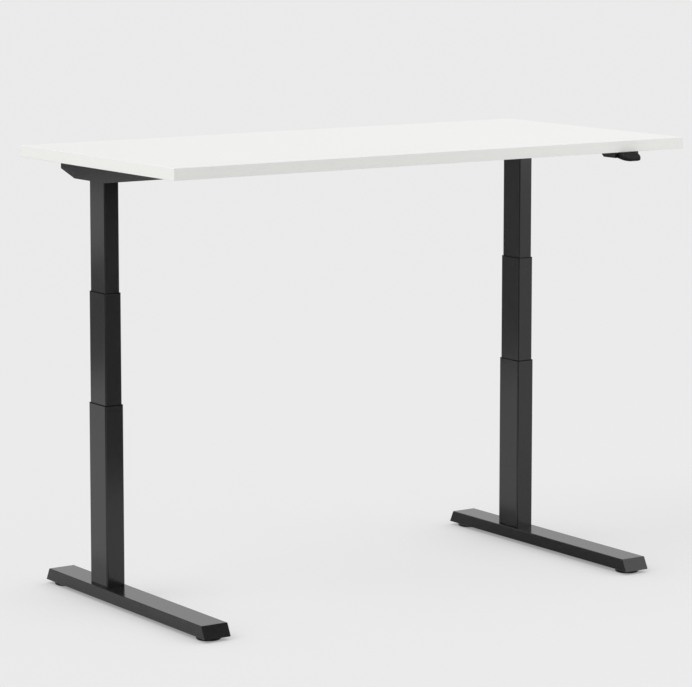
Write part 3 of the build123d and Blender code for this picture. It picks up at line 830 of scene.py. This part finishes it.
def motors():
    """Motor cans with rolled ends, a moulded end cap and a bearing boss."""
    low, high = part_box("motor_left")
    axis = (low + high) / 2
    stand = (low.x, axis.y, axis.z)
    radius, length = (high.z - low.z) / 2, high.x - low.x
    can_radius = radius - 1.5 * mm
    groove_radius = radius - 2 * mm
    can_end, cap_end = length - 9 * mm, length - 4 * mm
    steps = 56
    can_outline = (
        (0, 0),
        (radius - 1 * mm, 0),
        (radius, 1 * mm),
        (radius, 4.2 * mm),
        (radius - 0.8 * mm, 5 * mm),
        (can_radius, 5.6 * mm),
        (can_radius, 22 * mm),
        (groove_radius, 22.6 * mm),
        (groove_radius, 24.4 * mm),
        (can_radius, 25 * mm),
        (can_radius, can_end),
        (0, can_end),
    )
    cap_outline = (
        (0, can_end),
        (radius, can_end),
        (radius, cap_end - 1.2 * mm),
        (radius - 1.2 * mm, cap_end),
        (11 * mm, cap_end),
        (10.4 * mm, cap_end - 0.6 * mm),
        (8 * mm, cap_end - 0.6 * mm),
        (7.4 * mm, cap_end),
        (7 * mm, length - 0.6 * mm),
        (6.4 * mm, length),
        (3 * mm, length),
        (2.6 * mm, length - 1 * mm),
        (0, length - 1 * mm),
    )
    can = lathe("motor_can_left", stand, (1, 0, 0), can_outline, steps)
    cap = lathe("motor_cap_left", stand, (1, 0, 0), cap_outline, steps)
    for piece, slot, replaced in ((can, "motor_steel", "motor"), (cap, "control_box_black", None)):
        twin = copy_to(piece, piece.name.replace("left", "right"), (0, 0, 0))
        twin.data.transform(Matrix.Scale(-1, 4, (1, 0, 0)))
        with Bench(twin) as bench:
            bench.close()
        smooth(twin)
        for side, half in (("left", piece), ("right", twin)):
            dress(half, "desktop", slot, [f"{replaced}_{side}"] if replaced else ())


def crossbeam_bolts():
    """Hexagon bolts with chamfered heads and a washer face, inside the side brackets."""
    head_height = 4 * mm
    shank_radius = 3 * mm
    flats_radius = 5 * mm
    wide_face = 30 * mm * mm
    for number, (low, high) in enumerate(solids("crossbeam_bolts")):
        side = 1 if low.x > 0 else -1
        middle = (low + high) / 2
        seat = (high.x if side > 0 else low.x) - side * head_height
        shank = (seat - low.x) if side > 0 else (high.x - seat)
        head = start(
            f"crossbeam_bolt_{number + 1}",
            bpy.ops.mesh.primitive_cylinder_add,
            vertices=6,
            radius=max(high.z - low.z, high.y - low.y) / 2,
            depth=head_height,
            location=(seat + side * head_height / 2, middle.y, middle.z),
            rotation=(0, math.radians(90), 0),
        )

        def faces_out(face, side=side):
            return face.normal.x * side > 0.95

        def faces_in(face, side=side):
            return face.normal.x * side < -0.95 and face.calc_area() > wide_face

        with Bench(head) as bench:
            bench.ease(0.4 * mm, 2)
            bench.pick("FACE", faces_out)
            bpy.ops.mesh.inset(thickness=1.1 * mm, depth=-0.3 * mm)
            bench.pick("FACE", faces_in)
            bpy.ops.mesh.inset(thickness=flats_radius - shank_radius)
            bpy.ops.mesh.extrude_region_move(TRANSFORM_OT_translate={"value": (-side * shank, 0, 0)})
        smooth(head, small_corner)
        dress(head, "desktop", "zinc_steel", ["crossbeam_bolts"])


def wood_screws():
    """Pan-head screws with a cross recess and a thread that bites the board."""
    boxes = solids("wood_screws")
    low, high = boxes[0]
    centre = (low + high) / 2
    seat = (centre.x, centre.y, low.z)
    radius, head_height = (high.x - low.x) / 2, 2.6 * mm
    crest, root, pitch = 2 * mm, 1.4 * mm, 1.8 * mm
    recess_width, recess_length, recess_depth = 0.9 * mm, 4.2 * mm, 1.5 * mm
    thread = threaded_rod(
        "wood_screw_thread",
        (centre.x, centre.y, low.z + head_height),
        high.z - low.z - head_height,
        crest,
        root,
        pitch,
        steps=12,
    )
    head_outline = (
        (0, 0),
        (radius - 1.8 * mm, 0),
        (radius - 0.8 * mm, 0.3 * mm),
        (radius - 0.15 * mm, 1 * mm),
        (radius, 1.7 * mm),
        (radius, head_height),
        (0, head_height),
    )
    head = lathe("wood_screw_1", seat, upward, head_outline, steps=24)
    for x, y in ((recess_width / 2, recess_length / 2), (recess_length / 2, recess_width / 2)):
        cutter = block(
            "recess_cutter",
            (centre.x - x, centre.y - y, low.z - 1 * mm),
            (centre.x + x, centre.y + y, low.z + recess_depth),
        )
        cut_away(head, cutter, "cross_recess")
    join([head, thread])
    smooth(head, small_corner)
    for number, (place, _) in enumerate(boxes):
        screw = copy_to(head, f"wood_screw_{number + 1}", place - low) if number else head
        dress(screw, nodes["wood_screws"]["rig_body"], "zinc_steel", ["wood_screws"])


# ---------------------------------------------------------------- control box and hand control
def control_box():
    eased("control_box_lid", "control_box_flange", 0.4 * mm)
    eased("control_box_case", "control_box_shell", 0.4 * mm)


def contact(name, opening, x, z, half_width, half_height, tip_radius, segments):
    """One blade or pin that stands in an opening, short of its mouth, with its tip eased."""
    low, high = opening
    middle = (low + high) / 2
    root, tip = low.y + 2 * mm, high.y - 3 * mm
    pin = block(
        name,
        (middle.x + x - half_width, root, middle.z + z - half_height),
        (middle.x + x + half_width, tip, middle.z + z + half_height),
    )
    with Bench(pin) as bench:
        bench.ease(tip_radius, segments, lambda edge: abs(centre_of(edge).y - tip) < touching)
    return pin


def contact_pins():
    """Blades of the mains inlet and pins of the motor and hand-control sockets."""
    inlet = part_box("mains_inlet")
    for name, x, z in (("line", -7 * mm, -2 * mm), ("earth", 0, 4 * mm), ("neutral", 7 * mm, -2 * mm)):
        blade = contact(f"inlet_blade_{name}", inlet, x, z, 1 * mm, 2 * mm, 0.5 * mm, 2)
        smooth(blade)
        dress(blade, "desktop", "zinc_steel")
    for number, socket in enumerate(solids("control_box_sockets")):
        for row, z in (("low", -1.6 * mm), ("high", 1.6 * mm)):
            for column, x in enumerate((-4.2 * mm, -1.4 * mm, 1.4 * mm, 4.2 * mm)):
                name = f"socket_{number + 1}_pin_{row}_{column + 1}"
                pin = contact(name, socket, x, z, 0.5 * mm, 0.5 * mm, 0.25 * mm, 1)
                dress(pin, "desktop", "bronze")


def hand_control():
    """The housing under the edge, and its sprung paddle with a well rounded underside."""
    eased("handset_housing", "handset_shell", 0.6 * mm)
    rocker = plain_copy("handset_paddle", "handset_rocker")
    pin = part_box("handset_pin")[0]
    inside_slot = pin.y - 3 * mm
    below_pin = pin.z - 0.3 * mm

    def under_rim(edge):
        heights = sorted(face.normal.z for face in edge.link_faces)
        return centre_of(edge).z < below_pin and heights[0] < -0.6 and abs(heights[1]) < 0.4

    def front_corner(edge):
        return centre_of(edge).y < inside_slot and edge.calc_face_angle(0) > math.radians(30)

    with Bench(rocker) as bench:
        bench.pick("VERT")
        bpy.ops.mesh.bisect(plane_co=(0, inside_slot, 0), plane_no=(0, 1, 0))
        bench.ease(3 * mm, 5, under_rim)
        bench.ease(1.4 * mm, 3, front_corner)
    smooth(rocker, 30)
    dress(rocker, nodes["handset_paddle"]["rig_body"], slots["handset_paddle"], ["handset_paddle"])
    rocker.data.materials[0] = soft_touch_finish


# ---------------------------------------------------------------- studio
paper_white = 0.83


def grey(value):
    return (value, value, value)


def studio_floor():
    """A wide pale floor that keeps the desk's soft shadow, lightened, and whose glow carries painted
    shade, darker near the feet and legs by an ambient-occlusion mask.
    """
    contact_reach = 0.3
    contact_shade = 0.4
    glow_share = 0.8
    floor = start("studio_floor", bpy.ops.mesh.primitive_plane_add, size=120, location=(0, 0, 0))
    with Bench(floor) as bench:
        bench.pick("FACE")
        bpy.ops.mesh.subdivide(number_cuts=3)
    paper = Finish("pale_paper", Roughness=0.9, Specular_IOR_Level=0.1)
    paper.colour(paper.noise(1.5, 2), grey(0.778), grey(0.782))
    # Painted contact shade: the glow's colour falls towards contact_shade where the ambient-occlusion
    # mask finds the desk close by.
    openness = paper.node(
        "ShaderNodeAmbientOcclusion", {"samples": 16}, {"Distance": contact_reach}, "AO"
    )
    painted_contact_shade_colour = paper.between(openness, grey(contact_shade * paper_white), grey(paper_white))
    glow = paper.node("ShaderNodeEmission", None, {"Color": painted_contact_shade_colour})
    lit = Signal(paper, paper.shader.outputs[0])
    surface = paper.node("ShaderNodeMixShader", None, {0: paper.seen() * glow_share, 1: lit, 2: glow})
    paper.tree.links.new(surface.socket, paper.output.inputs[0])
    floor.data.materials.append(paper.material)


def studio_cards():
    """Grey and black cards round the desk, and on the floor left of its feet, that only reflections show:
    painted reflections that darken the glossy faces of the legs, feet and frame.
    """
    for name, low, high, shade in (
        ("front_card_low", (-0.75, -1.22, 0), (0.95, -1.2, 0.8), 0.3),
        ("front_card_high", (-0.75, -1.22, 0.8), (0.95, -1.2, 2.3), 0.012),
        ("rear_card_left", (-2.6, 2.5, 0.12), (-1.5, 2.52, 0.5), 0.34),
        ("rear_card_left_top", (-2.6, 2.5, 0.75), (-1.5, 2.52, 1.2), 0.36),
        ("rear_card_right", (-1.5, 2.5, 0), (-0.7, 2.52, 2.2), 0.34),
        ("left_card", (-2.22, -2.6, 0), (-2.2, 0.2, 2.2), 0.012),
        # Painted reflections of a darker floor in the sides of the feet, lighter for the left foot than
        # for the right.
        ("floor_card_left", (-0.87, -0.75, 0.001), (-0.66, 0.75, 0.003), 0.55),
        ("floor_card_right", (0.36, -0.75, 0.001), (0.574, 0.75, 0.003), 0.33),
    ):
        card = block(name, low, high)
        paper = Finish(f"{name}_paper", Roughness=0.9)
        paper.colour(paper.noise(30, 2), grey(shade), grey(shade * 1.05))
        card.data.materials.append(paper.material)
        card.visible_camera = False
        card.visible_diffuse = False
        card.visible_transmission = False
        card.visible_shadow = False


def studio_surround():
    """Even light from all sides on the desk, behind which a pale backdrop is seen."""
    even_light = 0.72
    world = bpy.data.worlds.new("studio")
    bpy.context.scene.world = world
    world.use_nodes = True
    wiring = Wiring(world.node_tree)
    light = wiring.node("ShaderNodeBackground", None, {"Color": (1, 1, 1, 1), "Strength": even_light})
    backdrop = wiring.node(
        "ShaderNodeBackground", None, {"Color": (*grey(paper_white), 1), "Strength": 1}
    )
    surround = wiring.node("ShaderNodeMixShader", None, {0: wiring.seen(), 1: light, 2: backdrop})
    output = wiring.tree.nodes.new("ShaderNodeOutputWorld")
    wiring.tree.links.new(surround.socket, output.inputs[0])


def lamp(name, kind, direction, place=(0, 0, 0), **settings):
    """One lamp, shining in a direction."""
    light = bpy.data.lights.new(name, kind)
    for setting, value in settings.items():
        setattr(light, setting, value)
    holder = bpy.data.objects.new(name, light)
    bpy.context.scene.collection.objects.link(holder)
    holder.location = place
    holder.rotation_euler = direction.to_track_quat("-Z", "Y").to_euler()


def studio_lamps():
    """A large soft key from the left and a weak fill from the right."""
    lamp("soft_key", "SUN", Vector((0.66, -0.02, -0.75)), energy=1.35, angle=math.radians(36))
    fill_place, fill_aim = Vector((2.6, -2.2, 1.98)), Vector((0.6, 0, 0.9))
    lamp(
        "soft_fill",
        "AREA",
        fill_aim - fill_place,
        fill_place,
        shape="RECTANGLE",
        size=1.3,
        size_y=2.6,
        energy=15.5,
    )


def camera():
    """A long lens from the front left, a little above the desk."""
    azimuth, elevation = math.radians(-34.158), math.radians(7.1127)
    place = (-4.24584, -6.21953, 1.73812)
    lens = bpy.data.cameras.new("camera")
    lens.lens = 160.816
    lens.sensor_width = 36
    lens.shift_y = -0.12
    lens.clip_end = 500
    view = bpy.data.objects.new("camera", lens)
    bpy.context.scene.collection.objects.link(view)
    view.location = place
    forward = Vector(
        (
            -math.sin(azimuth) * math.cos(elevation),
            math.cos(azimuth) * math.cos(elevation),
            -math.sin(elevation),
        )
    )
    view.rotation_euler = forward.to_track_quat("-Z", "Y").to_euler()
    bpy.context.scene.camera = view


edge_bands()
foot_caps()
glide_pads()
glide_studs()
lifting_screws()
brackets()
gearbox_castings()
motors()
crossbeam_bolts()
wood_screws()
control_box()
contact_pins()
hand_control()
studio_floor()
studio_cards()
studio_surround()
studio_lamps()
camera()
bpy.context.scene.view_settings.view_transform = "Standard"
